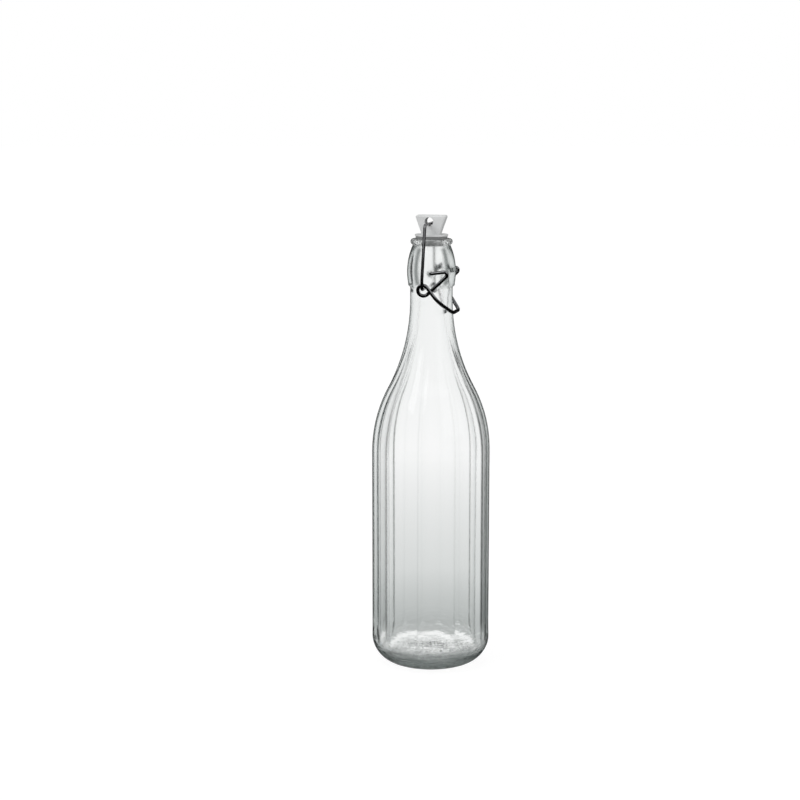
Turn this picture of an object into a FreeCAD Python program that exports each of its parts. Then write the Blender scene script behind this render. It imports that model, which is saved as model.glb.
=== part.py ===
"""Swing top bottle: a ten-sided glass bottle closed by a stopper on a sprung wire toggle.

Frame: millimetres, +Z up, origin at the middle of the foot. The lever opens towards +X
and every pivot of the closure runs along Y.
"""
import FreeCAD, Part
import Sketcher
import math
import os

Vector = FreeCAD.Vector
Z_AXIS = Vector(0, 0, 1)
FACETS = 10
LOOP_CORNERS = 8
LOOP_CORNER_SHARE = 0.97  # how much of a loop's sides its bends take up
DOME_SHARE = 0.75  # height of the push-up's arc halfway to its rim, as a share of its rise
SWELL_OUT = 0.75  # middle of the collar's lower edge, as shares of its width and height
SWELL_UP = 0.3
LIP_TURN = 0.3  # middle of the curve under the lip, as a share of its width and height
PLATE_REACH = 2  # reach of the facet plates in body radii
PLATE_RISE = 1.1  # top of the facet plates in bottle heights
SMALL = 0.01

SIZES = [
    ("body_radius", 42.2, "axis to a corner of the ten-sided body"),
    ("body_wall", 2.8, "glass at the middle of a facet"),
    ("heel_radius", 19.5, "round between the side and the foot"),
    ("foot_width", 5.5, "flat ring that the bottle stands on"),
    ("push_up", 3.0, "rise of the hollow under the base"),
    ("base_wall", 6.0, "glass between the push-up and the floor"),
    ("floor_radius", 7.0, "round between the floor and the inner wall"),
    ("shoulder_arc", 98.0, "outward curve of the shoulder"),
    ("neck_arc", 131.0, "inward curve from the shoulder to the neck"),
    ("neck_radius", 15.0, "neck below the collar"),
    ("neck_straight", 9.6, "straight neck between the shoulder and the collar"),
    ("facet_start", 26.0, "where the facets are full above the heel"),
    ("facet_run_out", 60.0, "curve that fades the facets into the heel"),
    ("facet_lift", 1.2, "how far the facets' shoulder stands above the round one"),
    ("facet_fade", 0.3, "how far the facets stand outside the neck where they end"),
    ("bottle_height", 306.2, "foot to the top of the lip"),
    ("bore_radius", 8.6, "bore of the neck"),
    ("mouth_round", 1.0, "round at the mouth's inner edge"),
    ("lip_radius", 14.8, "outside of the lip ring"),
    ("lip_depth", 4.2, "height of the lip ring"),
    ("lip_round", 1.9, "round of the lip's upper edge"),
    ("waist_radius", 13.1, "top of the collar, under the lip"),
    ("collar_radius", 17.2, "widest part of the barrel collar"),
    ("collar_depth", 33.7, "lip top down to the collar's lower edge"),
    ("collar_edge", 2.1, "round of the collar's lower edge"),
    ("pivot_drop", 23.2, "lip top down to the lever's pivot"),
    ("pivot_offset", 3.0, "pivot in front of the bottle's axis"),
    ("socket_depth", 4.4, "depth of the pivot sockets in the collar"),
    ("dimple_depth", 2.0, "flared mouth of the sockets"),
    ("dimple_radius", 2.8, "flared mouth of the sockets"),
    ("pivot_clearance", 0.1, "radial play of the wire in its socket"),
    ("lever_wire", 1.25, "radius of the lever's wire"),
    ("bail_wire", 1.1, "radius of the bail's wire"),
    ("wire_gap", 0.4, "side play between wires, and between wire and glass"),
    ("bend_radius", 2.2, "tight bends of the wire, on its middle line"),
    ("elbow_reach", 15.1, "bottle's axis to the lever's front elbow"),
    ("elbow_rise", 0.2, "pivot up to the middle of the elbow"),
    ("elbow_height", 3.0, "between the elbow's two corners"),
    ("elbow_bend", 1.8, "bends of the elbow, on the middle line"),
    ("loop_radius", 3.8, "middle line of the lever's loops"),
    ("loop_drop", 11.65, "pivot down to the middle of the loops"),
    ("loop_setback", 1.4, "loops behind the bottle's axis"),
    ("handle_drop", 27.8, "pivot down to the lever's handle"),
    ("handle_reach", 17.7, "bottle's axis to the handle's middle line"),
    ("handle_width", 20.6, "handle between its corners"),
    ("handle_bend", 9.0, "handle's corner bends, on the middle line"),
    ("arm_drop", 19.0, "pivot down to the knee of the lever's arms"),
    ("arm_reach", 9.0, "bottle's axis to the arms' knee"),
    ("arm_width", 43.5, "between the arms' knees"),
    ("arm_bend", 14.0, "bend at the arms' knee, on the middle line"),
    ("hook_length", 7.5, "bail hook through a loop"),
    ("crossbar_height", 10.4, "lip top up to the bail's crossbar"),
    ("crossbar_setback", 1.0, "crossbar behind the bottle's axis"),
    ("crossbar_width", 34.0, "bail between its upper corners"),
    ("leg_straight", 7.0, "upright end of a bail leg above its hook"),
    ("gasket_thickness", 1.8, "seal between the flange and the lip"),
    ("gasket_radius", 11.2, "outside of the seal"),
    ("gasket_skirt", 3.2, "how far the seal reaches into the mouth"),
    ("gasket_play", 0.6, "seal's skirt to the bore"),
    ("gasket_taper", 0.6, "how much the skirt narrows"),
    ("seat_gap", 0.1, "seal to the lip and to the plug"),
    ("flange_radius", 11.7, "stopper's flange"),
    ("flange_thickness", 1.1, "stopper's flange"),
    ("plug_radius", 5.4, "stopper's stem inside the seal"),
    ("plug_depth", 5.2, "lip top down to the stopper's tip"),
    ("bead_radius", 6.5, "bead that holds the seal on"),
    ("bead_height", 1.6, "bead that holds the seal on"),
    ("grip_top", 22.4, "width of the stopper's grip at its top"),
    ("grip_bottom", 11.8, "width of the stopper's grip at the flange"),
    ("grip_thickness", 9.2, "stopper's grip along the crossbar"),
    ("grip_height", 13.5, "stopper's grip above the flange"),
    ("grip_round", 1.2, "rounded edges of the grip"),
    ("eye_radius", 3.1, "hole in the grip for the crossbar"),
]

doc = FreeCAD.newDocument("swing_top_bottle")
sheet = doc.addObject("Spreadsheet::Sheet", "sizes")


class Size:
    """A length and the sheet expression that it comes from."""

    def __init__(self, value, text):
        self.value = value
        self.text = text

    def __add__(self, other):
        return Size(self.value + amount(other), f"({self.text} + {wording(other)})")

    def __sub__(self, other):
        return Size(self.value - amount(other), f"({self.text} - {wording(other)})")

    def __mul__(self, factor):
        return Size(self.value * factor, f"({self.text} * {factor})")

    def __neg__(self):
        return self * -1


def amount(size):
    """The number of a Size or of a plain number."""
    return size.value if isinstance(size, Size) else size


def wording(size):
    """The expression of a Size or of a plain number."""
    return size.text if isinstance(size, Size) else str(size)


def fill_sheet():
    """Write every driving size to the sheet and return them, read back from it, by name."""
    for row, (alias, value, note) in enumerate(SIZES, start=1):
        sheet.set(f"A{row}", alias)
        sheet.set(f"B{row}", str(value))
        sheet.set(f"C{row}", note)
        sheet.setAlias(f"B{row}", alias)
    doc.recompute()
    return {alias: Size(float(sheet.get(alias)), f"sizes.{alias}") for alias, value, note in SIZES}


S = fill_sheet()


def bind(thing, prop, size):
    """Tie a property to the sheet."""
    thing.setExpression(prop, size.text)


# Heights and fits that several pieces share
PIVOT_Z = S["bottle_height"] - S["pivot_drop"]
CROSSBAR_Z = S["bottle_height"] + S["crossbar_height"]
SEAT_Z = S["bottle_height"] + S["seat_gap"]
FLANGE_Z = SEAT_Z + S["gasket_thickness"]
GRIP_Z = FLANGE_Z + S["flange_thickness"]
LOOP_X = -S["loop_setback"]
LOOP_Z = PIVOT_Z - S["loop_drop"]
HOOK_Z = LOOP_Z + S["loop_radius"] - S["lever_wire"] - S["bail_wire"] - S["wire_gap"]
BAR_Y = S["collar_radius"] + S["lever_wire"] + S["wire_gap"]
ARM_Y = BAR_Y + S["lever_wire"] * 2 + S["wire_gap"]
LEG_Y = ARM_Y + S["lever_wire"] + S["bail_wire"] + S["wire_gap"]
EYE_Z = CROSSBAR_Z + S["eye_radius"] - S["bail_wire"] - S["wire_gap"]
FLAT_RADIUS = S["body_radius"] * math.cos(math.pi / FACETS)
INNER_RADIUS = FLAT_RADIUS - S["body_wall"]
SOCKET_RADIUS = S["lever_wire"] + S["pivot_clearance"]


def line(start, end):
    return Part.LineSegment(start, end).toShape()


def arc(start, middle, end):
    return Part.Arc(start, middle, end).toShape()


def at(radius, height):
    """A point of a half section, in the XZ plane."""
    return Vector(radius, 0, height)


def quarter(start, corner, end, size):
    """A quarter round of the given size that leaves start and end along the sides of corner."""
    centre = start + end - corner
    middle = centre + (corner - centre).normalize() * size
    return arc(start, middle, end)


def shoulder_rise(body, neck, lower_arc, upper_arc):
    """Height of a shoulder of two arcs from the body to the neck."""
    across = lower_arc + upper_arc - (body - neck)
    return math.sqrt((lower_arc + upper_arc) ** 2 - across ** 2)


def shoulder_start():
    """Height where the straight side ends, which leaves the straight neck under the collar."""
    arcs = (S["shoulder_arc"].value, S["neck_arc"].value)
    rise = shoulder_rise(S["body_radius"].value, S["neck_radius"].value, arcs[0], arcs[1])
    return (S["bottle_height"] - S["collar_depth"] - S["neck_straight"]).value - rise


def shoulder(body, neck, lower_arc, upper_arc, start):
    """Edges of a shoulder: an outward arc that runs into an inward one, and its upper end."""
    low_centre = at(body - lower_arc, start)
    rise = shoulder_rise(body, neck, lower_arc, upper_arc)
    high_centre = at(neck + upper_arc, start + rise)
    meet = low_centre + (high_centre - low_centre).normalize() * lower_arc
    low_middle = low_centre + (at(body, start) + meet - low_centre * 2).normalize() * lower_arc
    end = at(neck, start + rise)
    high_middle = high_centre + (meet + end - high_centre * 2).normalize() * upper_arc
    return [arc(at(body, start), low_middle, meet), arc(meet, high_middle, end)], end


def barrel_radius(height):
    """Radius of the barrel collar, an arc that is widest at the pivot's height."""
    widest = S["collar_radius"].value
    top = (S["bottle_height"] - S["lip_depth"]).value
    rise = top - PIVOT_Z.value
    sink = widest - S["waist_radius"].value
    barrel_arc = (rise ** 2 + sink ** 2) / (2 * sink)
    return widest - barrel_arc + math.sqrt(barrel_arc ** 2 - (height - PIVOT_Z.value) ** 2)


def face_feature(name, edges):
    """A flat outline kept as a document object."""
    outline = doc.addObject("Part::Feature", name)
    outline.Shape = Part.Face(Part.Wire(edges))
    return outline


def revolved(name, outline):
    """An outline turned round the bottle's axis."""
    turned = doc.addObject("Part::Revolution", name)
    turned.Source = outline
    turned.Axis = Z_AXIS
    turned.Angle = 360
    turned.Solid = True
    return turned


def bottle_outline():
    """Outside of the bottle before its facets: base, heel, side, shoulder, neck, collar and lip."""
    body = S["body_radius"].value
    heel = S["heel_radius"].value
    top = S["bottle_height"].value
    neck = S["neck_radius"].value
    foot_outer = body - heel
    foot_inner = foot_outer - S["foot_width"].value
    push_up = S["push_up"].value
    dome_middle = at(foot_inner / 2, push_up * DOME_SHARE)
    edges = [arc(at(0, push_up), dome_middle, at(foot_inner, 0))]
    edges.append(line(at(foot_inner, 0), at(foot_outer, 0)))
    edges.append(quarter(at(foot_outer, 0), at(body, 0), at(body, heel), heel))
    start = shoulder_start()
    edges.append(line(at(body, heel), at(body, start)))
    curves, neck_foot = shoulder(body, neck, S["shoulder_arc"].value, S["neck_arc"].value, start)
    collar_foot = at(neck, top - S["collar_depth"].value)
    edges += curves + [line(neck_foot, collar_foot)]
    low_height = collar_foot.z + S["collar_edge"].value
    collar_low = at(barrel_radius(low_height), low_height)
    swell = collar_low - collar_foot
    swell_middle = collar_foot + at(swell.x * SWELL_OUT, swell.z * SWELL_UP)
    edges.append(arc(collar_foot, swell_middle, collar_low))
    waist = at(S["waist_radius"].value, top - S["lip_depth"].value)
    edges.append(arc(collar_low, at(S["collar_radius"].value, PIVOT_Z.value), waist))
    lip = S["lip_radius"].value
    round_ = S["lip_round"].value
    lip_side = at(lip, top - round_)
    overhang = lip_side - waist
    turn_middle = at(lip_side.x - overhang.x * LIP_TURN, waist.z + overhang.z * LIP_TURN)
    edges.append(arc(waist, turn_middle, lip_side))
    edges.append(quarter(lip_side, at(lip, top), at(lip - round_, top), round_))
    edges += [line(at(lip - round_, top), at(0, top)), line(at(0, top), at(0, push_up))]
    return face_feature("bottle_outline", edges)


def hollow_outline():
    """Inside of the bottle: dished floor, wall, shoulder, bore and rounded mouth."""
    inner = INNER_RADIUS.value
    bore = S["bore_radius"].value
    top = S["bottle_height"].value
    wall = S["body_wall"].value
    floor = S["push_up"].value + S["base_wall"].value
    corner = S["floor_radius"].value
    start = shoulder_start()
    edges = [line(at(0, floor), at(inner - corner, floor))]
    edges.append(quarter(at(inner - corner, floor), at(inner, floor), at(inner, floor + corner), corner))
    edges.append(line(at(inner, floor + corner), at(inner, start)))
    arcs = (S["shoulder_arc"].value - wall, S["neck_arc"].value + wall)
    curves, bore_foot = shoulder(inner, bore, arcs[0], arcs[1], start)
    mouth = S["mouth_round"].value
    mouth_foot = at(bore, top - mouth)
    edges += curves + [line(bore_foot, mouth_foot)]
    mouth_edge = at(bore + mouth, top)
    centre = at(bore + mouth, top - mouth)
    middle = centre + at(-1, 1).normalize() * mouth
    edges.append(arc(mouth_foot, middle, mouth_edge))
    edges += [line(mouth_edge, at(0, top)), line(at(0, top), at(0, floor))]
    return face_feature("hollow_outline", edges)


def facet_outline():
    """Outline of a pair of opposite facets: run-out at the heel, side, shoulder, clear of the neck."""
    flat = FLAT_RADIUS.value
    run_out = S["facet_run_out"].value
    full = S["facet_start"].value
    start = shoulder_start() + S["facet_lift"].value
    neck = (S["neck_radius"] + S["facet_fade"]).value
    clear = S["body_radius"].value * PLATE_REACH
    top = S["bottle_height"].value * PLATE_RISE
    foot_turn = math.asin(full / run_out)
    centre = at(flat + run_out, full)
    foot = centre - at(math.cos(foot_turn), math.sin(foot_turn)) * run_out
    bend = centre - at(math.cos(foot_turn / 2), math.sin(foot_turn / 2)) * run_out
    side = [line(at(0, foot.z), foot), arc(foot, bend, at(flat, full))]
    side.append(line(at(flat, full), at(flat, start)))
    curves, neck_foot = shoulder(flat, neck, S["shoulder_arc"].value, S["neck_arc"].value, start)
    outer = [neck_foot, at(clear, neck_foot.z), at(clear, top), at(0, top)]
    side += curves + [line(first, second) for first, second in zip(outer, outer[1:])]
    half = Part.Wire(side)
    other = half.mirror(Vector(0, 0, 0), Vector(1, 0, 0))
    return face_feature("facet_outline", Part.__sortEdges__(half.Edges + other.Edges))


def facet_pairs():
    """The pairs of opposite facets as thick plates whose common part is the ten-sided body."""
    outline = facet_outline()
    pairs = []
    for index in range(FACETS // 2):
        pair = doc.addObject("Part::Extrusion", f"facet_pair_{index + 1}")
        pair.Base = outline
        pair.DirMode = "Custom"
        pair.Dir = Vector(0, 1, 0)
        pair.Symmetric = True
        pair.Solid = True
        bind(pair, "LengthFwd", S["body_radius"] * (2 * PLATE_REACH))
        pair.Placement.Rotation = FreeCAD.Rotation(Z_AXIS, 360 * index / FACETS)
        pairs.append(pair)
    return pairs


def pivot_sockets():
    """Blind holes with flared mouths, in both sides of the collar, for the lever's ends."""
    cuts = []
    for name, side in (("near", -1), ("far", 1)):
        hole = doc.addObject("Part::Cylinder", f"{name}_socket")
        bind(hole, "Radius", SOCKET_RADIUS)
        bind(hole, "Height", S["socket_depth"])
        flare = doc.addObject("Part::Cone", f"{name}_dimple")
        bind(flare, "Radius1", SOCKET_RADIUS)
        bind(flare, "Radius2", S["dimple_radius"])
        bind(flare, "Height", S["dimple_depth"])
        for cut, depth in ((hole, S["socket_depth"]), (flare, S["dimple_depth"])):
            cut.Placement.Rotation = FreeCAD.Rotation(Vector(1, 0, 0), -90 * side)
            bind(cut, "Placement.Base.x", S["pivot_offset"])
            bind(cut, "Placement.Base.y", (S["collar_radius"] - depth) * side)
            bind(cut, "Placement.Base.z", PIVOT_Z)
            cuts.append(cut)
    return cuts


def make_bottle():
    """Glass: the round outside cut to ten facets, then hollowed and given the pivot sockets."""
    blank = doc.addObject("Part::MultiCommon", "faceted_blank")
    blank.Shapes = [revolved("round_blank", bottle_outline())] + facet_pairs()
    cuts = doc.addObject("Part::MultiFuse", "glass_cuts")
    cuts.Shapes = [revolved("hollow", hollow_outline())] + pivot_sockets()
    bottle = doc.addObject("Part::Cut", "bottle")
    bottle.Base = blank
    bottle.Tool = cuts
    return bottle


def half_angle(before, corner, after):
    """Half of the angle between the two runs that meet at a corner."""
    return (before - corner).getAngle(after - corner) / 2


def bent_wire(name, radius, points, bends):
    """Round wire along straight runs joined by tangent bends, one bend for each inner point."""
    edges = []
    start = points[0]
    for before, corner, after, bend in zip(points, points[1:], points[2:], bends):
        back = (before - corner).normalize()
        ahead = (after - corner).normalize()
        half = half_angle(before, corner, after)
        reach = bend / math.tan(half)
        enter = corner + back * reach
        middle = corner + (back + ahead).normalize() * (bend / math.sin(half) - bend)
        if (enter - start).dot(back) > -SMALL / 2:
            raise RuntimeError(f"{name} has no room for its bends")
        edges.append(line(start, enter))
        start = corner + ahead * reach
        edges.append(arc(enter, middle, start))
    edges.append(line(start, points[-1]))
    path = Part.Wire(edges)
    section = Part.Wire(Part.makeCircle(radius, points[0], points[1] - points[0]))
    wire = doc.addObject("Part::Feature", name)
    wire.Shape = path.makePipeShell([section], True, False)
    expected = math.pi * radius ** 2 * path.Length
    print(f"{name}: volume is {wire.Shape.Volume / expected:.4f} of section times length")
    return wire


def mirrored_path(half, bends):
    """A path from the near side (-Y) to the far side, mirrored about the XZ plane."""
    far = [Vector(point.x, -point.y, point.z) for point in reversed(half)]
    return half + far, bends + bends[::-1]


def make_lever():
    """Lever: socket end, elbow, bar, loop and arm on each side, joined by the handle at the front."""
    pivot = Vector(S["pivot_offset"].value, 0, PIVOT_Z.value)
    loop = Vector(LOOP_X.value, 0, LOOP_Z.value)
    radius = S["loop_radius"].value
    bar = BAR_Y.value
    arm = ARM_Y.value
    knee = Vector(S["arm_reach"].value, -S["arm_width"].value / 2, (PIVOT_Z - S["arm_drop"]).value)
    handle_z = (PIVOT_Z - S["handle_drop"]).value
    corner = Vector(S["handle_reach"].value, -S["handle_width"].value / 2, handle_z)

    def tangent_angle(point, side):
        """Angle, seen from the near side, of the loop's point where a line from point touches it."""
        towards = math.atan2(point.z - loop.z, point.x - loop.x)
        spread = math.acos(radius / math.hypot(point.x - loop.x, point.z - loop.z))
        return towards + side * spread

    elbow_x = S["elbow_reach"].value
    elbow_z = (PIVOT_Z + S["elbow_rise"]).value
    half_elbow = S["elbow_height"].value / 2
    elbow = [Vector(elbow_x, -bar, elbow_z + half_elbow), Vector(elbow_x, -bar, elbow_z - half_elbow)]
    enter = tangent_angle(elbow[1], -1)
    leave = tangent_angle(knee, 1)
    turn = (enter - leave) % (2 * math.pi)
    step = turn / LOOP_CORNERS
    around = radius / math.cos(step / 2)
    points = [
        Vector(pivot.x, -(S["collar_radius"] - S["socket_depth"] + S["wire_gap"]).value, pivot.z),
        Vector(pivot.x, -bar, pivot.z),
    ] + elbow
    bends = [S["bend_radius"].value] + [S["elbow_bend"].value] * len(elbow)
    for index in range(LOOP_CORNERS):
        angle = enter - (index + 0.5) * step
        depth = bar + (arm - bar) * index / (LOOP_CORNERS - 1)
        points.append(loop + Vector(around * math.cos(angle), -depth, around * math.sin(angle)))
    points += [knee, corner]
    reach = LOOP_CORNER_SHARE * radius * math.tan(step / 2)
    first = len(bends)
    for before, middle, after in zip(points[first:], points[first + 1:], points[first + 2:-1]):
        bends.append(reach * math.tan(half_angle(before, middle, after)))
    bends += [S["arm_bend"].value, S["handle_bend"].value]
    return bent_wire("lever", S["lever_wire"].value, *mirrored_path(points, bends))


def make_bail():
    """Bail: hooks through the lever's loops, legs outside it, and a crossbar through the stopper."""
    hook_x = LOOP_X.value
    leg = LEG_Y.value
    hook_z = HOOK_Z.value
    bend = S["bend_radius"].value
    half = [
        Vector(hook_x, -(leg - S["hook_length"].value), hook_z),
        Vector(hook_x, -leg, hook_z),
        Vector(hook_x, -leg, hook_z + S["leg_straight"].value),
        Vector(-S["crossbar_setback"].value, -S["crossbar_width"].value / 2, CROSSBAR_Z.value),
    ]
    return bent_wire("bail", S["bail_wire"].value, *mirrored_path(half, [bend, bend, bend]))


def origin_plane(body, role):
    """The body's own origin plane with the given role."""
    return next(plane for plane in body.Origin.OriginFeatures if plane.Role == role)


def outline_sketch(body, name, corners):
    """A closed sketch of straight lines in the XZ plane whose corners are tied to the sheet."""
    sketch = body.newObject("Sketcher::SketchObject", name)
    sketch.AttachmentSupport = [(origin_plane(body, "XZ_Plane"), "")]
    sketch.MapMode = "FlatFace"
    places = [Vector(across.value, up.value, 0) for across, up in corners]
    for index, place in enumerate(places):
        sketch.addGeometry(Part.LineSegment(place, places[(index + 1) % len(places)]))
    for index, (across, up) in enumerate(corners):
        following = (index + 1) % len(corners)
        sketch.addConstraint(Sketcher.Constraint("Coincident", index, 2, following, 1))
        for kind, size in (("DistanceX", across), ("DistanceY", up)):
            made = sketch.addConstraint(Sketcher.Constraint(kind, -1, 1, index, 1, size.value))
            sketch.setExpression(f"Constraints[{made}]", size.text)
    return sketch


def revolved_body(name, corners):
    """A body turned round the bottle's axis from a half outline."""
    body = doc.addObject("PartDesign::Body", name)
    turned = body.newObject("PartDesign::Revolution", f"{name}_turned")
    sketch = outline_sketch(body, f"{name}_outline", corners)
    turned.Profile = sketch
    turned.ReferenceAxis = (sketch, ["V_Axis"])
    turned.Angle = 360
    body.Tip = turned
    return body


def make_gasket():
    """Seal: a washer under the flange with a tapered skirt that reaches into the mouth."""
    hole = S["plug_radius"] + S["seat_gap"]
    skirt = S["bore_radius"] - S["gasket_play"]
    foot = S["bottle_height"] - S["gasket_skirt"]
    return revolved_body("gasket", [
        (hole, FLANGE_Z),
        (S["gasket_radius"], FLANGE_Z),
        (S["gasket_radius"], SEAT_Z),
        (skirt, SEAT_Z),
        (skirt - S["gasket_taper"], foot),
        (hole, foot),
    ])


def edges_above(shape, height):
    """Names of the straight edges whose ends lie at or above a height."""
    names = []
    for number, edge in enumerate(shape.Edges, start=1):
        straight = edge.Curve.TypeId == "Part::GeomLine"
        if straight and min(vertex.Z for vertex in edge.Vertexes) > height - SMALL:
            level = abs(edge.Vertexes[0].Z - edge.Vertexes[-1].Z) < SMALL
            if not (level and edge.Vertexes[0].Z < height + SMALL):
                names.append(f"Edge{number}")
    return names


def make_stopper():
    """Stopper: bead, stem and flange turned on the axis, and a flat grip with an eye for the crossbar."""
    tip = S["bottle_height"] - S["plug_depth"]
    bead_top = tip + S["bead_height"]
    axis = Size(0.0, "0.0")
    body = revolved_body("stopper", [
        (axis, tip),
        (S["plug_radius"], tip),
        (S["bead_radius"], tip + S["bead_height"] * 0.5),
        (S["bead_radius"], bead_top),
        (S["plug_radius"], bead_top),
        (S["plug_radius"], FLANGE_Z),
        (S["flange_radius"], FLANGE_Z),
        (S["flange_radius"], GRIP_Z),
        (axis, GRIP_Z),
    ])
    grip_top = GRIP_Z + S["grip_height"]
    grip = body.newObject("PartDesign::Pad", "stopper_grip")
    grip.Profile = outline_sketch(body, "grip_outline", [
        (-S["grip_bottom"] * 0.5, FLANGE_Z),
        (S["grip_bottom"] * 0.5, FLANGE_Z),
        (S["grip_top"] * 0.5, grip_top),
        (-S["grip_top"] * 0.5, grip_top),
    ])
    grip.Midplane = True
    bind(grip, "Length", S["grip_thickness"])
    doc.recompute()
    rounded = body.newObject("PartDesign::Fillet", "grip_rounds")
    rounded.Base = (grip, edges_above(grip.Shape, GRIP_Z.value))
    bind(rounded, "Radius", S["grip_round"])
    body.Tip = rounded
    doc.recompute()
    eye_sketch = body.newObject("Sketcher::SketchObject", "eye_outline")
    eye_sketch.AttachmentSupport = [(origin_plane(body, "XZ_Plane"), "")]
    eye_sketch.MapMode = "FlatFace"
    centre = Vector(-S["crossbar_setback"].value, EYE_Z.value, 0)
    eye_sketch.addGeometry(Part.Circle(centre, Z_AXIS, S["eye_radius"].value))
    ties = (("DistanceX", -S["crossbar_setback"]), ("DistanceY", EYE_Z))
    for kind, size in ties:
        made = eye_sketch.addConstraint(Sketcher.Constraint(kind, -1, 1, 0, 3, size.value))
        eye_sketch.setExpression(f"Constraints[{made}]", size.text)
    made = eye_sketch.addConstraint(Sketcher.Constraint("Radius", 0, S["eye_radius"].value))
    eye_sketch.setExpression(f"Constraints[{made}]", S["eye_radius"].text)
    before = body.Tip.Shape.Volume
    eye = body.newObject("PartDesign::Pocket", "stopper_eye")
    eye.Profile = eye_sketch
    eye.Type = "ThroughAll"
    eye.Midplane = True
    body.Tip = eye
    doc.recompute()
    if body.Shape.Volume >= before:
        raise RuntimeError("the stopper's eye cuts nothing")
    return body


def check_document():
    """Stop if any object of the document failed to rebuild."""
    for thing in doc.Objects:
        if "Invalid" in thing.State or "Error" in thing.State:
            raise RuntimeError(f"{thing.Name} failed: {thing.State}")


def main():
    pieces = [make_bottle(), make_lever(), make_bail(), make_gasket(), make_stopper()]
    doc.recompute()
    check_document()
    for piece in pieces:
        shape = piece.Shape
        if shape.isNull() or not shape.isValid() or len(shape.Solids) != 1:
            raise RuntimeError(f"{piece.Label} is not one valid solid")
    os.makedirs("parts", exist_ok=True)
    for piece in pieces:
        piece.Shape.exportStep(f"parts/{piece.Label}.step")
        print(f"{piece.Label}: {piece.Shape.Volume / 1000:.2f} cm3")


main()
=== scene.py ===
import math
from collections import namedtuple

import bpy
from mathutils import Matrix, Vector

# Swing top bottle: clear glass, bright wire, pale stopper and rubber seal on a white set.
# Lengths are in metres and heights are measured from the foot.

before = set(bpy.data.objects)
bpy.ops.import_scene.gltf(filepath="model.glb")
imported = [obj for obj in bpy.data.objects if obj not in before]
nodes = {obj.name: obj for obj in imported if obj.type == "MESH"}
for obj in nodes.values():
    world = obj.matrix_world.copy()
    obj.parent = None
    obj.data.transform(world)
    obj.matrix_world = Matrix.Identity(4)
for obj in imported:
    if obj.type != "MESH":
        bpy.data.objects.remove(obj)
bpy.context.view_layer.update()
scene = bpy.context.scene

WHITE = (1.0, 1.0, 1.0)
EVEN = (1.0, 1.0, 1.0)
Noise = namedtuple("Noise", "scale detail stretch")
Relief = namedtuple("Relief", "depth strength")
Look = namedtuple("Look", "name settings tone dark light grain roughness relief")
Spot = namedtuple("Spot", "height across away turn")

# Camera: where it stands round the bottle, in degrees, and what it looks at
CAMERA_AZIMUTH = 12.5
CAMERA_DISTANCE = 1.35
CAMERA_HEIGHT = 0.412
CAMERA_LENS_MM = 86.4
CAMERA_SENSOR_MM = 36.0
CAMERA_CLIP = (0.05, 50.0)
AIM_HEIGHT = 0.1911
AIM_ASIDE = 0.0222

# Bounces that light needs to get through the glass and off it
GLASS_BOUNCES = 18
GLOSSY_BOUNCES = 8

# World: the light on the bottle, and the white that camera, metal and glass see
WORLD_LIGHT = 0.55
WORLD_WHITE = 1.0

# Lamps: name, place, size and power; all point at one place on the bottle
LAMP_AIM = (0.0, 0.0, 0.2)
LAMPS = (
    ("key", (-0.8, -1.0, 1.3), (0.9, 0.9), 9.0),
    ("fill", (1.1, -0.5, 0.9), (0.8, 1.2), 4.0),
)

# Floor: a part of it glows white to the camera, and the rest takes the shadow. Glass and metal
# see painted shade instead, a colour for each distance from the bottle's axis: dark just past its foot,
# lighter far out.
FLOOR_RADIUS = 12.0
FLOOR_SIDES = 96
FLOOR_LEVEL = -0.0002
FLOOR_GREY = (0.85, 0.85, 0.85)
FLOOR_ROUGHNESS = 0.9
FLOOR_GLOW = 1.12
FLOOR_CAMERA_SHARE = 0.82
FLOOR_PAINTED_SHADE = (
    (0.0, (0.89, 0.892, 0.891)),
    (0.054, (0.87, 0.876, 0.873)),
    (0.07, (0.4, 0.415, 0.41)),
    (0.11, (0.44, 0.46, 0.455)),
    (0.27, (0.65, 0.665, 0.66)),
    (0.8, (0.89, 0.89, 0.89)),
)

# Ring: a dark open box round the bottle
RING_RADIUS = 0.22
RING_TOP = 0.36
RING_FOOT = -0.0001
RING_SIDES = 96
RING_GREY = (0.02, 0.02, 0.02)

# Plain glass
GLASS_IOR = 1.5
GLASS_GLARE = (0.4, 0.4, 0.4)
GLASS_ABSORBED = (0.5, 0.56, 0.545)
GLASS_DENSITY = 16.0

# Glass relief: rounded corners, slow waves, streaks at the heel, stippling at the base
CORNER_ROUND = 0.0022
CORNER_SAMPLES = 3
WAVES = Noise(24.0, 1.0, (1.0, 1.0, 0.35))
WAVES_RELIEF = Relief(0.0012, 0.5)
STREAKS = Noise(130.0, 2.0, (0.35, 0.35, 2.2))
STREAKS_RELIEF = Relief(0.0016, 0.6)
STREAKS_TOP = (0.015, 0.03)
STIPPLE_SCALE = 240.0
STIPPLE_RELIEF = Relief(0.0012, 0.8)
STIPPLE_TOP = (0.01, 0.0125)
STIPPLE_RIM = (0.02805, 0.033)
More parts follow.
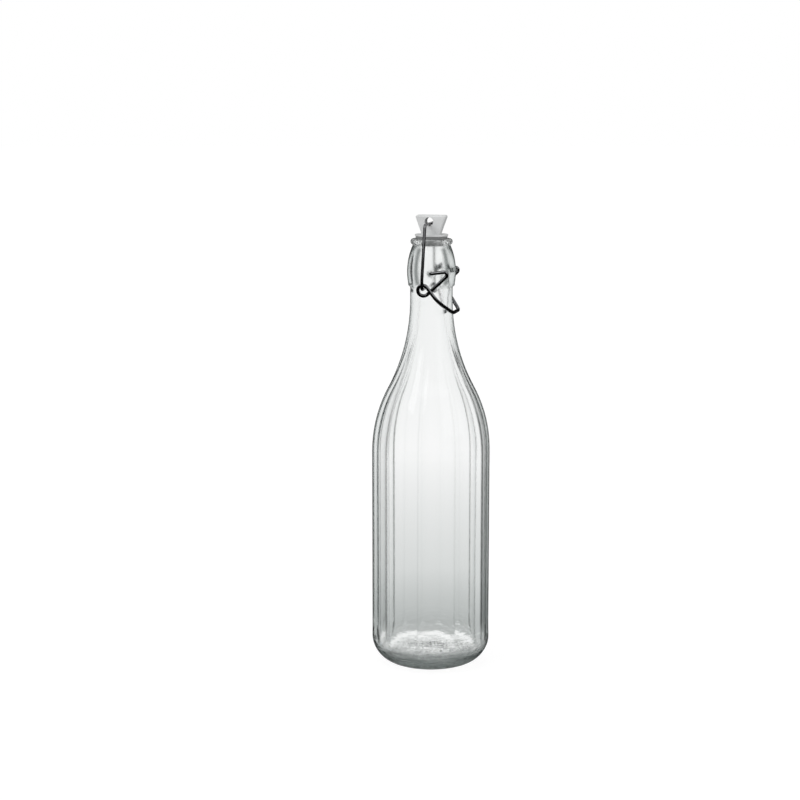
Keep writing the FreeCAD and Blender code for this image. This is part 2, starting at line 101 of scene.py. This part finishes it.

# Painted shade on the glass by how far it is turned away, from 0 face on to 1 edge on
EDGE_PAINTED_SHADE = (
    (0.0, WHITE),
    (0.45, (0.985, 0.99, 0.988)),
    (0.66, (0.88, 0.89, 0.887)),
    (0.80, (0.55, 0.57, 0.565)),
    (0.90, (0.16, 0.175, 0.17)),
    (1.0, (0.02, 0.024, 0.022)),
)
# Painted shade on the collar: dark bands where the thick glass is turned a little away, and darker edge on
COLLAR_PAINTED_SHADE = (
    (0.0, WHITE),
    (0.13, (0.98, 0.985, 0.983)),
    (0.19, (0.12, 0.13, 0.127)),
    (0.26, (0.08, 0.09, 0.087)),
    (0.36, (0.85, 0.86, 0.857)),
    (0.62, (0.72, 0.74, 0.735)),
    (0.80, (0.18, 0.2, 0.195)),
    (1.0, (0.02, 0.024, 0.022)),
)
COLLAR_FOOT = (0.2725, 0.2755)
COLLAR_TOP = (0.2992, 0.3012)
COLLAR_RIM = (0.0105, 0.012)
# Inside the cavity the painted shade is left off
CAVITY_FOOT = (0.014, 0.02)
CAVITY_TOP = (0.15, 0.158)
CAVITY_RIM = (0.0383, 0.039)

# Painted shade lines on the body's corners, thin and faint in front, wide and dark at the sides
FACETS = 10
LINE_PAINTED_SHADE = (0.02, 0.024, 0.022)
LINE_TURN = (0.2, 0.42)
LINE_WIDTH = (0.001, 0.002)
LINE_SOFT = (0.0, 0.0012)
LINE_DEPTH = (0.15, 0.95)
LINE_FOOT = (0.01, 0.034)
LINE_TOP = (0.18, 0.24)

# Painted shade on the heel, frosting on the inner floor, and a painted highlight on the lip as a milky
# frosting
HEEL_PAINTED_SHADE = (0.16, 0.174, 0.17)
HEEL_FOOT = (0.0015, 0.003)
HEEL_TOP = (0.0142, 0.01988)
HEEL_RIM = (0.028, 0.0308)
FLOOR_FOOT = (0.005, 0.007)
# The lip is made milky and pale: a painted highlight
LIP_FOOT = (0.3012, 0.3027)
LIP_PAINTED_HIGHLIGHT = 0.16
FROST_AND_LIP_HIGHLIGHT_DARK = (0.62, 0.63, 0.625)
FROST_AND_LIP_HIGHLIGHT_LIGHT = (0.99, 0.995, 0.993)
FROST_AND_LIP_HIGHLIGHT_GRAIN = (0.1, 0.6)
FROST_GRAIN = (0.05, 0.5)
FROST_SHARE = (0.0, 0.1)

# The other pieces: a cloudy tone between two shades, and a grain that sets gloss and relief
NOISE_MIDDLE = (0.3, 0.7)
WIRE = Look(
    "bright_wire", {"Metallic": 1.0},
    Noise(120.0, 4.0, EVEN), (0.10, 0.101, 0.104), (0.19, 0.192, 0.197),
    Noise(900.0, 3.0, (1.0, 1.0, 0.08)), (0.1, 0.24), Relief(0.00004, 0.4),
)
STOPPER = Look(
    "moulded_stopper", {"IOR": 1.46},
    Noise(140.0, 3.0, EVEN), (0.66, 0.67, 0.67), (0.74, 0.75, 0.75),
    Noise(2600.0, 2.0, EVEN), (0.3, 0.46), Relief(0.00005, 0.35),
)
SEAL = Look(
    "seal_rubber", {},
    Noise(3200.0, 3.0, EVEN), (0.20, 0.204, 0.204), (0.28, 0.285, 0.285),
    Noise(3200.0, 3.0, EVEN), (0.6, 0.8), Relief(0.00005, 0.5),
)


class Nodes:
    """Short names for building one material's node tree."""

    def __init__(self, name, settings):
        self.material = bpy.data.materials.new(name)
        self.material.use_nodes = True
        self.tree = self.material.node_tree
        self.shader = self.tree.nodes["Principled BSDF"]
        self.output = self.tree.nodes["Material Output"]
        for key, value in settings.items():
            self.shader.inputs[key].default_value = value

    def add(self, kind, **settings):
        node = self.tree.nodes.new(kind)
        for key, value in settings.items():
            setattr(node, key, value)
        return node

    def link(self, source, target):
        self.tree.links.new(source, target)

    def feed(self, name, source):
        """Links a value to one of the shader's sockets."""
        self.link(source, self.shader.inputs[name])

    def place(self):
        return self.add("ShaderNodeTexCoord").outputs["Object"]

    def noise(self, noise):
        """Noise over the object's own coordinates, in features per metre."""
        mapping = self.add("ShaderNodeMapping")
        mapping.inputs["Scale"].default_value = noise.stretch
        self.link(self.place(), mapping.inputs["Vector"])
        node = self.add("ShaderNodeTexNoise")
        node.inputs["Scale"].default_value = noise.scale
        node.inputs["Detail"].default_value = noise.detail
        self.link(mapping.outputs["Vector"], node.inputs["Vector"])
        return node.outputs["Fac"]

    def span(self, source, reach, values):
        """The two ends of the reach become the two values, and nothing goes past them."""
        node = self.add("ShaderNodeMapRange")
        for name, value in zip(("From Min", "From Max", "To Min", "To Max"), (*reach, *values)):
            node.inputs[name].default_value = value
        self.link(source, node.inputs["Value"])
        return node.outputs["Result"]

    def rise(self, source, reach):
        """0 up to the start of the reach and 1 from its end."""
        return self.span(source, reach, (0.0, 1.0))

    def fall(self, source, reach):
        """1 up to the start of the reach and 0 from its end."""
        return self.span(source, reach, (1.0, 0.0))

    def sweep(self, source, stops):
        """Colours at given values, blended between them; the last value is the longest reach."""
        reach = stops[-1][0]
        node = self.add("ShaderNodeValToRGB")
        elements = node.color_ramp.elements
        elements[0].color = (*stops[0][1], 1.0)
        elements[1].color = (*stops[-1][1], 1.0)
        for value, colour in stops[1:-1]:
            elements.new(value / reach).color = (*colour, 1.0)
        self.link(self.math("DIVIDE", source, reach), node.inputs["Fac"])
        return node.outputs["Color"]

    def mix(self, source, first, second):
        """A blend of two colours, each a fixed shade or another node's output."""
        node = self.add("ShaderNodeMix", data_type="RGBA")
        self.link(source, node.inputs["Factor"])
        for name, colour in (("A", first), ("B", second)):
            if isinstance(colour, tuple):
                node.inputs[name].default_value = (*colour, 1.0)
            else:
                self.link(colour, node.inputs[name])
        return node.outputs["Result"]

    def math(self, operation, first, second):
        node = self.add("ShaderNodeMath", operation=operation)
        for socket, value in zip(node.inputs, (first, second)):
            if isinstance(value, (int, float)):
                socket.default_value = value
            else:
                self.link(value, socket)
        return node.outputs["Value"]

    def times(self, first, *others):
        """The product of several masks."""
        for other in others:
            first = self.math("MULTIPLY", first, other)
        return first

    def vector(self, operation, *values):
        """A vector operation on other nodes' outputs or fixed vectors."""
        node = self.add("ShaderNodeVectorMath", operation=operation)
        for socket, value in zip(node.inputs, values):
            if isinstance(value, tuple):
                socket.default_value = value
            else:
                self.link(value, socket)
        return node.outputs["Value" if operation in ("LENGTH", "DOT_PRODUCT") else "Vector"]

    def facing(self, normal):
        """0 where the normal points at the viewer, 1 where it points aside."""
        node = self.add("ShaderNodeLayerWeight")
        node.inputs["Blend"].default_value = 0.5
        self.link(normal, node.inputs["Normal"])
        return node.outputs["Facing"]

    def bump(self, height, relief, below=None):
        node = self.add("ShaderNodeBump")
        node.inputs["Distance"].default_value = relief.depth
        node.inputs["Strength"].default_value = relief.strength
        self.link(height, node.inputs["Height"])
        if below is not None:
            self.link(below, node.inputs["Normal"])
        return node.outputs["Normal"]


def opaque(colour):
    return (*colour, 1.0)


def make_camera():
    turn = math.radians(CAMERA_AZIMUTH)
    right = Vector((math.cos(turn), math.sin(turn), 0.0))
    place = Vector((math.sin(turn), -math.cos(turn), 0.0)) * CAMERA_DISTANCE
    place.z = CAMERA_HEIGHT
    aim = Vector((0.0, 0.0, AIM_HEIGHT)) - right * AIM_ASIDE
    data = bpy.data.cameras.new("camera")
    data.lens = CAMERA_LENS_MM
    data.sensor_width = CAMERA_SENSOR_MM
    data.clip_start, data.clip_end = CAMERA_CLIP
    camera = bpy.data.objects.new("camera", data)
    camera.location = place
    camera.rotation_mode = "QUATERNION"
    camera.rotation_quaternion = (aim - place).to_track_quat("-Z", "Y")
    scene.collection.objects.link(camera)
    scene.camera = camera


def glass_spot(made):
    """Where a point of the glass lies: its height, and its place, distance and turn round the axis."""
    parts = made.add("ShaderNodeSeparateXYZ")
    made.link(made.place(), parts.inputs["Vector"])
    across = made.vector("MULTIPLY", made.place(), (1.0, 1.0, 0.0))
    away = made.vector("LENGTH", across)
    turn = made.math("ARCTAN2", parts.outputs["Y"], parts.outputs["X"])
    return Spot(parts.outputs["Z"], across, away, turn)


def painted_corner_lines(made, spot, skin):
    """A mask for the painted shade lines along the body's corners."""
    step = math.pi / FACETS
    swing = made.math("PINGPONG", made.math("SUBTRACT", spot.turn, step), step)
    aside = made.math("MULTIPLY", swing, spot.away)
    round_turn = made.facing(made.vector("NORMALIZE", spot.across))
    width = made.span(round_turn, LINE_TURN, LINE_WIDTH)
    near = made.rise(made.math("SUBTRACT", width, aside), LINE_SOFT)
    ends = made.times(made.rise(spot.height, LINE_FOOT), made.fall(spot.height, LINE_TOP))
    return made.times(near, ends, made.span(round_turn, LINE_TURN, LINE_DEPTH), skin)


def glass():
    """Clear glass: painted shade makes it darker edge on and at its corners, with dark bands on the collar
    and a grey heel; streaked at the heel, with frosting inside its base, and a painted highlight on the lip
    as a milky frosting.
    """
    made = Nodes("clear_glass", {
        "Transmission Weight": 1.0, "IOR": GLASS_IOR, "Roughness": 0.0, "Specular Tint": opaque(GLASS_GLARE),
    })
    spot = glass_spot(made)
    height, away = spot.height, spot.away

    # Relief
    base = made.times(made.fall(height, STIPPLE_TOP), made.fall(away, STIPPLE_RIM))
    dots = made.add("ShaderNodeTexVoronoi", voronoi_dimensions="2D")
    dots.inputs["Scale"].default_value = STIPPLE_SCALE
    made.link(made.place(), dots.inputs["Vector"])
    grains = dots.outputs["Distance"]
    soft = made.add("ShaderNodeBevel", samples=CORNER_SAMPLES)
    soft.inputs["Radius"].default_value = CORNER_ROUND
    waves = made.bump(made.noise(WAVES), WAVES_RELIEF, soft.outputs["Normal"])
    streaks = made.times(made.noise(STREAKS), made.fall(height, STREAKS_TOP))
    streaked = made.bump(streaks, STREAKS_RELIEF, waves)
    made.feed("Normal", made.bump(made.times(grains, base), STIPPLE_RELIEF, streaked))

    # Masks: the side that a ray from the air meets, and the outer skin alone
    face = made.add("ShaderNodeNewGeometry")
    outside = made.math("SUBTRACT", 1.0, face.outputs["Backfacing"])
    outward = made.vector("DOT_PRODUCT", face.outputs["True Normal"], spot.across)
    skin = made.times(outside, made.math("GREATER_THAN", outward, 0.0))
    collar = made.times(
        made.rise(height, COLLAR_FOOT), made.fall(height, COLLAR_TOP), outside, made.rise(away, COLLAR_RIM))
    cavity = made.times(
        made.fall(away, CAVITY_RIM), made.rise(height, CAVITY_FOOT), made.fall(height, CAVITY_TOP))
    heel = made.times(
        made.rise(height, HEEL_FOOT), made.fall(height, HEEL_TOP), skin, made.rise(away, HEEL_RIM))
    floor = made.times(base, made.rise(height, FLOOR_FOOT))
    lip = made.rise(height, LIP_FOOT)

    # Painted shade: the glass darker edge on, in bands on the collar, along the corner lines and at the
    # heel, and none in the cavity
    edge = made.facing(waves)
    painted_shade = made.mix(collar, made.sweep(edge, EDGE_PAINTED_SHADE), made.sweep(edge, COLLAR_PAINTED_SHADE))
    painted_shade = made.mix(cavity, painted_shade, WHITE)
    painted_shade = made.mix(painted_corner_lines(made, spot, skin), painted_shade, LINE_PAINTED_SHADE)
    painted_shade = made.mix(heel, painted_shade, HEEL_PAINTED_SHADE)
    # The inner floor's frosting and the lip's painted highlight share one pale grainy colour
    frost_and_lip_highlight = made.mix(made.rise(grains, FROST_AND_LIP_HIGHLIGHT_GRAIN), FROST_AND_LIP_HIGHLIGHT_DARK, FROST_AND_LIP_HIGHLIGHT_LIGHT)
    made.feed("Base Color", made.mix(made.math("MAXIMUM", floor, lip), painted_shade, frost_and_lip_highlight))

    # Frosting on the inner floor, and the lip's painted highlight: both take a share from transmission
    floor_frost = made.times(made.span(grains, FROST_GRAIN, FROST_SHARE), floor)
    frost_and_lip_highlight_share = made.math("MAXIMUM", floor_frost, made.times(lip, LIP_PAINTED_HIGHLIGHT))
    made.feed("Transmission Weight", made.math("SUBTRACT", 1.0, frost_and_lip_highlight_share))

    volume = made.add("ShaderNodeVolumeAbsorption")
    volume.inputs["Color"].default_value = opaque(GLASS_ABSORBED)
    volume.inputs["Density"].default_value = GLASS_DENSITY
    made.link(volume.outputs["Volume"], made.output.inputs["Volume"])
    return made.material


def plain(look):
    """The material of a piece that isn't glass."""
    made = Nodes(look.name, look.settings)
    tone = made.rise(made.noise(look.tone), NOISE_MIDDLE)
    grain = made.noise(look.grain)
    made.feed("Base Color", made.mix(tone, look.dark, look.light))
    made.feed("Roughness", made.span(grain, NOISE_MIDDLE, look.roughness))
    made.feed("Normal", made.bump(grain, look.relief))
    return made.material


def dress():
    steel = plain(WIRE)
    looks = {
        "bottle": glass(), "lever": steel, "bail": steel, "stopper": plain(STOPPER), "gasket": plain(SEAL),
    }
    for name, material in looks.items():
        mesh = nodes[name].data
        mesh.materials.clear()
        mesh.materials.append(material)


def seen(tree):
    """1 for rays from the camera, from shiny surfaces and through glass, else 0."""
    path = tree.nodes.new("ShaderNodeLightPath")
    total = path.outputs["Is Camera Ray"]
    for name in ("Is Glossy Ray", "Is Transmission Ray"):
        most = tree.nodes.new("ShaderNodeMath")
        most.operation = "MAXIMUM"
        tree.links.new(total, most.inputs[0])
        tree.links.new(path.outputs[name], most.inputs[1])
        total = most.outputs["Value"]
    return total


def make_world():
    world = bpy.data.worlds.new("world")
    scene.world = world
    world.use_nodes = True
    tree = world.node_tree
    background = tree.nodes["Background"]
    background.inputs["Color"].default_value = opaque(WHITE)
    strength = tree.nodes.new("ShaderNodeMapRange")
    strength.inputs["To Min"].default_value = WORLD_LIGHT
    strength.inputs["To Max"].default_value = WORLD_WHITE
    tree.links.new(seen(tree), strength.inputs["Value"])
    tree.links.new(strength.outputs["Result"], background.inputs["Strength"])


def make_floor():
    """A wide floor: white to the camera, with painted shade darker towards the bottle where glass and metal
    show it.
    """
    bpy.ops.mesh.primitive_circle_add(
        vertices=FLOOR_SIDES, radius=FLOOR_RADIUS, fill_type="NGON", location=(0.0, 0.0, FLOOR_LEVEL))
    floor = bpy.context.object
    floor.name = "floor"
    made = Nodes("floor", {"Base Color": opaque(FLOOR_GREY), "Roughness": FLOOR_ROUGHNESS})
    path = made.add("ShaderNodeLightPath")
    camera = path.outputs["Is Camera Ray"]
    # Painted shade that only glass and metal see: darker towards the bottle
    sweep = made.sweep(made.vector("LENGTH", made.place()), FLOOR_PAINTED_SHADE)
    glow = made.add("ShaderNodeEmission")
    glow.inputs["Strength"].default_value = FLOOR_GLOW
    made.link(made.mix(camera, sweep, WHITE), glow.inputs["Color"])
    through = made.math("MAXIMUM", path.outputs["Is Glossy Ray"], path.outputs["Is Transmission Ray"])
    share = made.math("MAXIMUM", through, made.times(camera, FLOOR_CAMERA_SHARE))
    mix = made.add("ShaderNodeMixShader")
    made.link(share, mix.inputs["Fac"])
    made.link(made.shader.outputs["BSDF"], mix.inputs[1])
    made.link(glow.outputs["Emission"], mix.inputs[2])
    made.link(mix.outputs["Shader"], made.output.inputs["Surface"])
    floor.data.materials.append(made.material)


def make_ring():
    """A dark open box round the bottle that only reflections see, which draws the glass's outlines."""
    turns = [2 * math.pi * index / RING_SIDES for index in range(RING_SIDES)]
    low = [(RING_RADIUS * math.cos(turn), RING_RADIUS * math.sin(turn), RING_FOOT) for turn in turns]
    high = [(x, y, RING_TOP) for x, y, z in low]
    follow = [(index, (index + 1) % RING_SIDES) for index in range(RING_SIDES)]
    sides = [(here, there, there + RING_SIDES, here + RING_SIDES) for here, there in follow]
    mesh = bpy.data.meshes.new("ring")
    mesh.from_pydata(low + high, [], sides + [tuple(range(RING_SIDES))])
    ring = bpy.data.objects.new("ring", mesh)
    scene.collection.objects.link(ring)
    ring.visible_camera = False
    ring.visible_diffuse = False
    ring.visible_transmission = False
    ring.visible_volume_scatter = False
    ring.visible_shadow = False
    made = Nodes("ring", {"Base Color": opaque(RING_GREY), "Roughness": 1.0, "Specular IOR Level": 0.0})
    mesh.materials.append(made.material)


def make_lamp(name, place, size, power):
    data = bpy.data.lights.new(name, "AREA")
    data.shape = "RECTANGLE"
    data.size, data.size_y = size
    data.energy = power
    lamp = bpy.data.objects.new(name, data)
    lamp.location = place
    lamp.rotation_mode = "QUATERNION"
    lamp.rotation_quaternion = (Vector(LAMP_AIM) - Vector(place)).to_track_quat("-Z", "Y")
    scene.collection.objects.link(lamp)


scene.view_settings.view_transform = "Standard"
scene.cycles.max_bounces = GLASS_BOUNCES
scene.cycles.transmission_bounces = GLASS_BOUNCES
scene.cycles.glossy_bounces = GLOSSY_BOUNCES
make_camera()
dress()
make_world()
make_floor()
make_ring()
for lamp in LAMPS:
    make_lamp(*lamp)
